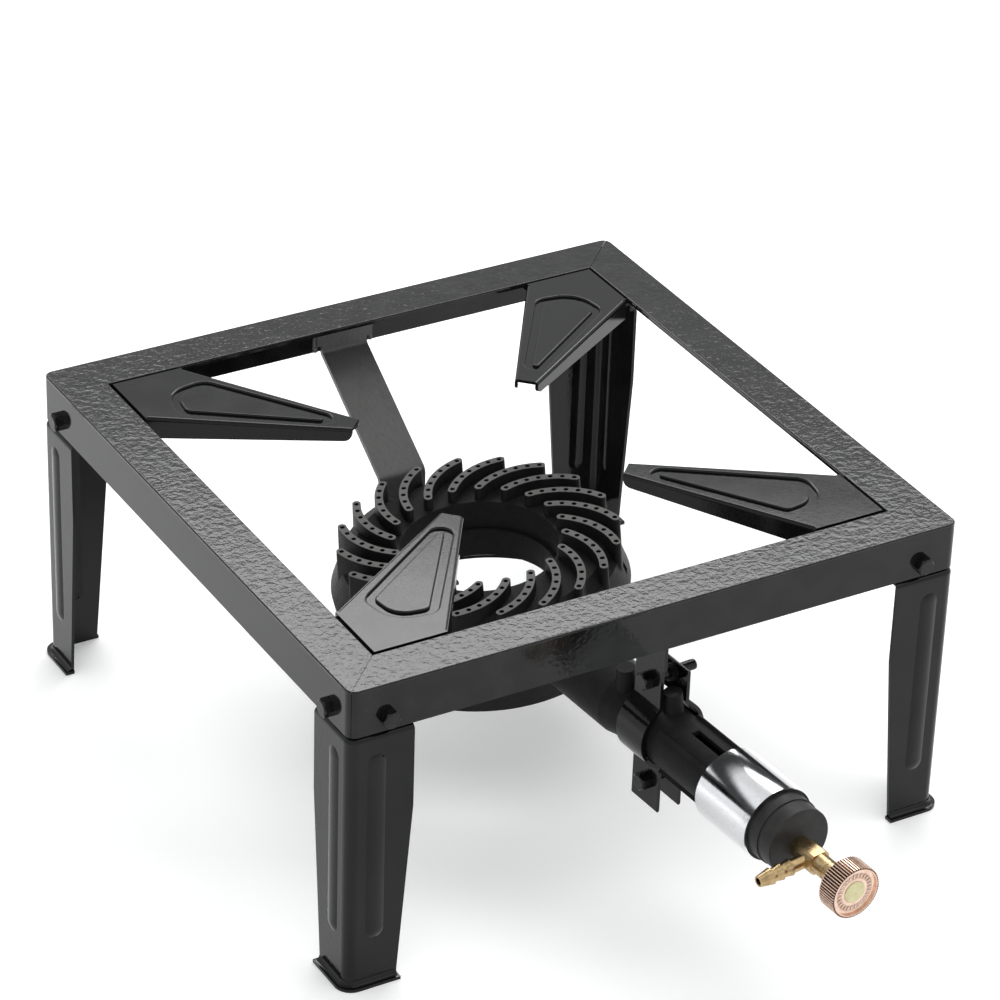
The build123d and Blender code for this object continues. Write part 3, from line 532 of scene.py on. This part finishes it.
def knob_ticks(finish):
    """Raised marks that point at the knob's middle, one pressed pill for each tick."""
    tree, start, end = geometry_tree("knob_ticks", [
        ("Count", "NodeSocketInt"), ("Ring Radius", "NodeSocketFloat"),
        ("Length", "NodeSocketFloat"), ("Width", "NodeSocketFloat"),
        ("Height", "NodeSocketFloat"), ("Finish", "NodeSocketMaterial")])
    given = start.outputs
    ring = place(tree, "GeometryNodeMeshCircle", {
        "Vertices": given["Count"], "Radius": given["Ring Radius"]})
    pill = place(tree, "GeometryNodeMeshIcoSphere", {"Radius": 1.0, "Subdivisions": 2})
    half = place(tree, "ShaderNodeCombineXYZ", {
        "X": halved(tree, given["Length"]), "Y": halved(tree, given["Width"]),
        "Z": given["Height"]})
    pressed = place(tree, "GeometryNodeTransform", {
        "Geometry": pill.outputs["Mesh"], "Scale": half.outputs["Vector"]})
    spot = place(tree, "GeometryNodeInputPosition")
    turn = place(tree, "FunctionNodeAlignRotationToVector", {"Vector": spot.outputs[0]}, axis="X")
    marks = place(tree, "GeometryNodeInstanceOnPoints", {
        "Points": ring.outputs["Mesh"], "Instance": pressed.outputs["Geometry"],
        "Rotation": turn.outputs[0]})
    finish_tree(tree, start, end, marks.outputs["Instances"])
    return grown("knob_marks", tree, {
        "Count": tick_count, "Ring Radius": tick_ring_radius, "Length": tick_length,
        "Width": tick_width, "Height": tick_height, "Finish": finish})


copper_finish = bare_metal(
    "copper_plate", dull=(0.66, 0.46, 0.36, 1), bright=(0.84, 0.64, 0.52, 1),
    # the knob's colour carries painted shade in its flutes and between its marks
    grain_scale=2200.0, rough=(0.16, 0.25), tint=flute_painted_shade)
dress(["valve_knob"], copper_finish)
dress(["knob_disc"], bare_metal(
    "yellow_brass", dull=(0.50, 0.46, 0.27, 1), bright=(0.60, 0.56, 0.35, 1),
    grain_scale=2200.0, rough=(0.24, 0.34)))
marks = knob_ticks(copper_finish)
set_in_place(marks, knob_face, knob_axis)
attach(marks, "knob")


# Pipe clamp. Two strips of 2 mm sheet rolled round the pipe and drawn together by
# M6 screws, in the legs' gloss black. The left one runs up behind the front rail,
# where its foot is welded to the flange.
dress(["clamp_left_half", "clamp_right_half"], gloss_black)

clamp_way = Vector((0.997564, 0.069756, 0.0))
upper_ear_face = Vector((0.0238028, -0.1803056, 0.139))
upper_screw_end = 0.0116
lower_nut_face = Vector((0.0269950, -0.1800823, 0.069))
lower_screw_end = 0.0034
foot_left, foot_right = -0.0076, 0.0034
foot_low = 0.1722

thread("clamp_thread_upper", upper_ear_face, upper_ear_face + clamp_way * upper_screw_end)
thread("clamp_thread_lower", lower_nut_face, lower_nut_face + clamp_way * lower_screw_end)
weld("clamp_weld", (foot_left, -flange_inside, foot_low), (foot_right, -flange_inside, foot_low),
     7, gloss_black)


# Studio. A pale floor, a soft wall of light behind the stand that starts a little
# above its top, a weak soft light high on the right, and a pale room round them.
floor_reach = 9.0
floor_thick = 0.02
floor_pale = (0.95, 0.95, 0.95, 1)
floor_white = (0.97, 0.97, 0.97, 1)
floor_glow = 0.16
floor_rough = 0.9
light_aim = Vector((0, 0, 0.15))
sky_low = (0.98, 0.99, 1.0, 1)
sky_high = (0.62, 0.62, 0.62, 1)
sky_dims_from = 0.72
sky_dims_to = 0.82


def studio_floor():
    mesh = bpy.data.meshes.new("floor")
    shape = bmesh.new()
    bmesh.ops.create_cube(shape, size=1.0)
    for vertex in shape.verts:
        vertex.co = Vector((vertex.co.x * floor_reach * 2, vertex.co.y * floor_reach * 2,
                            (vertex.co.z - 0.5) * floor_thick))
    shape.to_mesh(mesh)
    shape.free()
    floor = bpy.data.objects.new("floor", mesh)
    bpy.context.collection.objects.link(floor)
    made, tree, shader, where = material_start("pale_floor")
    tree.links.new(between(tree, noise(tree, where, 1.5, 2.0), floor_pale, floor_white),
                   shader.inputs["Base Color"])
    shader.inputs["Emission Color"].default_value = (1, 1, 1, 1)
    shader.inputs["Emission Strength"].default_value = floor_glow
    shader.inputs["Roughness"].default_value = floor_rough
    shader.inputs["Specular IOR Level"].default_value = 0.0
    mesh.materials.append(made)
    return floor


studio_floor()


def soft_light(name, azimuth, elevation, distance, width, height, power):
    """A rectangle of light that faces the stand; azimuth 0 is in front, 90 left, 180 behind."""
    data = bpy.data.lights.new(name, "AREA")
    data.shape = "RECTANGLE"
    data.size = width
    data.size_y = height
    data.energy = power
    lamp = bpy.data.objects.new(name, data)
    bpy.context.collection.objects.link(lamp)
    az, el = radians(azimuth), radians(elevation)
    towards = Vector((-sin(az) * cos(el), -cos(az) * cos(el), sin(el)))
    lamp.location = light_aim + towards * distance
    lamp.rotation_euler = towards.to_track_quat("Z", "Y").to_euler()


soft_light("back_panel", azimuth=212, elevation=43.3, distance=1.65,
           width=1.7, height=0.5, power=17)
soft_light("top_soft", azimuth=292, elevation=63, distance=2.4,
           width=2.2, height=2.2, power=12)

world = bpy.data.worlds.new("studio")
world.use_nodes = True
sky_tree = world.node_tree
direction = place(sky_tree, "ShaderNodeTexCoord").outputs["Generated"]
rise = place(sky_tree, "ShaderNodeSeparateXYZ", {"Vector": direction}).outputs["Z"]
sky = between(sky_tree, ramp(sky_tree, rise, sky_dims_from, sky_dims_to), sky_low, sky_high)
sky_tree.links.new(sky, sky_tree.nodes["Background"].inputs["Color"])
bpy.context.scene.world = world
bpy.context.scene.view_settings.view_transform = "Standard"

# Camera. It stands in front of the stand, to the left of its middle, and looks down
# on it through a long lens. Its values come from the camera fit to the photo.
azimuth, elevation, roll = radians(-30.409), radians(31.923), radians(1.8447)
distance = 2.6046
target = Vector((0, 0, 0.1))
focal_pixels = 4291.0
centre_x, centre_y = 485.38, 588.53
picture_side = 1000.0
sensor_width = 36.0
right = Vector((cos(azimuth), sin(azimuth), 0))
back = Vector((sin(azimuth) * cos(elevation), -cos(azimuth) * cos(elevation), sin(elevation)))
up = back.cross(right)
turned_right = right * cos(roll) + up * sin(roll)
turned_up = up * cos(roll) - right * sin(roll)
lens = bpy.data.cameras.new("camera")
lens.sensor_width = sensor_width
lens.lens = focal_pixels * sensor_width / picture_side
lens.shift_x = (picture_side / 2 - centre_x) / picture_side
lens.shift_y = (centre_y - picture_side / 2) / picture_side
camera = bpy.data.objects.new("camera", lens)
bpy.context.collection.objects.link(camera)
turn = Matrix((turned_right, turned_up, back)).transposed().to_4x4()
camera.matrix_world = Matrix.Translation(target + back * distance) @ turn
bpy.context.scene.camera = camera
